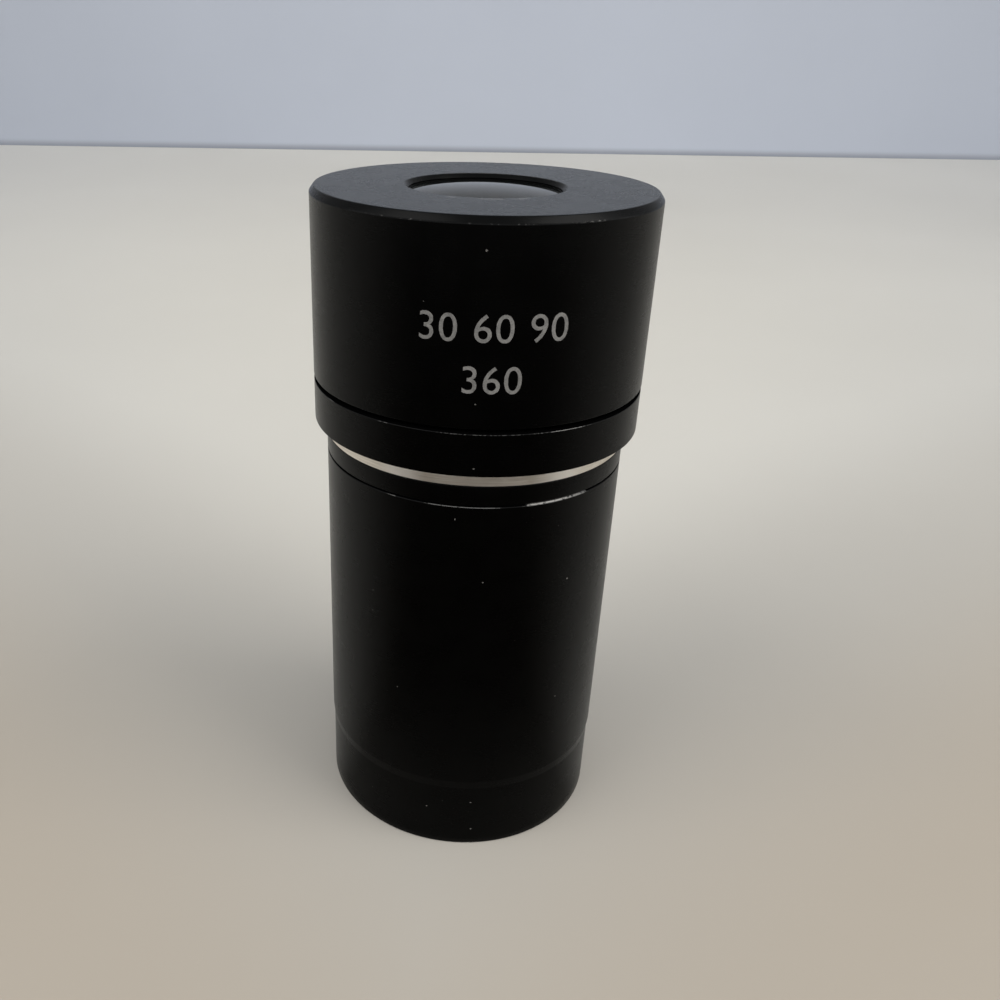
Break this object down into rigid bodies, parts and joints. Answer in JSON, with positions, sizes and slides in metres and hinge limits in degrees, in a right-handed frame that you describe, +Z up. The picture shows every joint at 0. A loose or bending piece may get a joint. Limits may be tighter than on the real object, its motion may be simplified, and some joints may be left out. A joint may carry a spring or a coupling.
{
  "type": "photo eyepiece",
  "caption": "Turned black projection eyepiece for a microscope's photo tube, with a wide head, shoulder ring, bright spacer ring, long sleeve and lens groups inside.",
  "frame": {"origin": "on the optical axis at the foot's lower face, which it stands on", "axes": "+Z up the optical axis from the field lens to the eye lens; +X and +Y across it"},
  "size_m": [0.0324, 0.0324, 0.0667],
  "materials": {
    "black_anodised": "satin black anodised, fine turned grain",
    "black_sleeve": "satin black anodised, with light handling wear",
    "bright_turned": "bare metal, fine turned",
    "inner_black": "matt black anodised",
    "ring_black": "gloss black finished brass",
    "coated_glass": "polished, thin coating",
    "crown_glass": "polished"
  },
  "bodies": {
    "root": {"head_cover": "black_anodised", "shoulder_ring": "black_anodised", "collar_ring": "black_anodised", "outer_sleeve": "black_sleeve", "bright_spacer_ring": "bright_turned", "inner_barrel": "inner_black", "eye_lens_cell": "inner_black", "middle_lens_cell": "inner_black", "baffle_tube": "inner_black", "field_stop": "inner_black", "spacer_tube": "inner_black", "field_lens_cell": "inner_black", "eye_lens_retaining_ring": "ring_black", "middle_lens_retaining_ring": "ring_black", "field_lens_retaining_ring": "ring_black", "eye_lens_flint": "coated_glass", "eye_lens_crown": "crown_glass", "middle_lens": "coated_glass", "field_lens_crown": "crown_glass", "field_lens_flint": "coated_glass"}
  },
  "joints": []
}
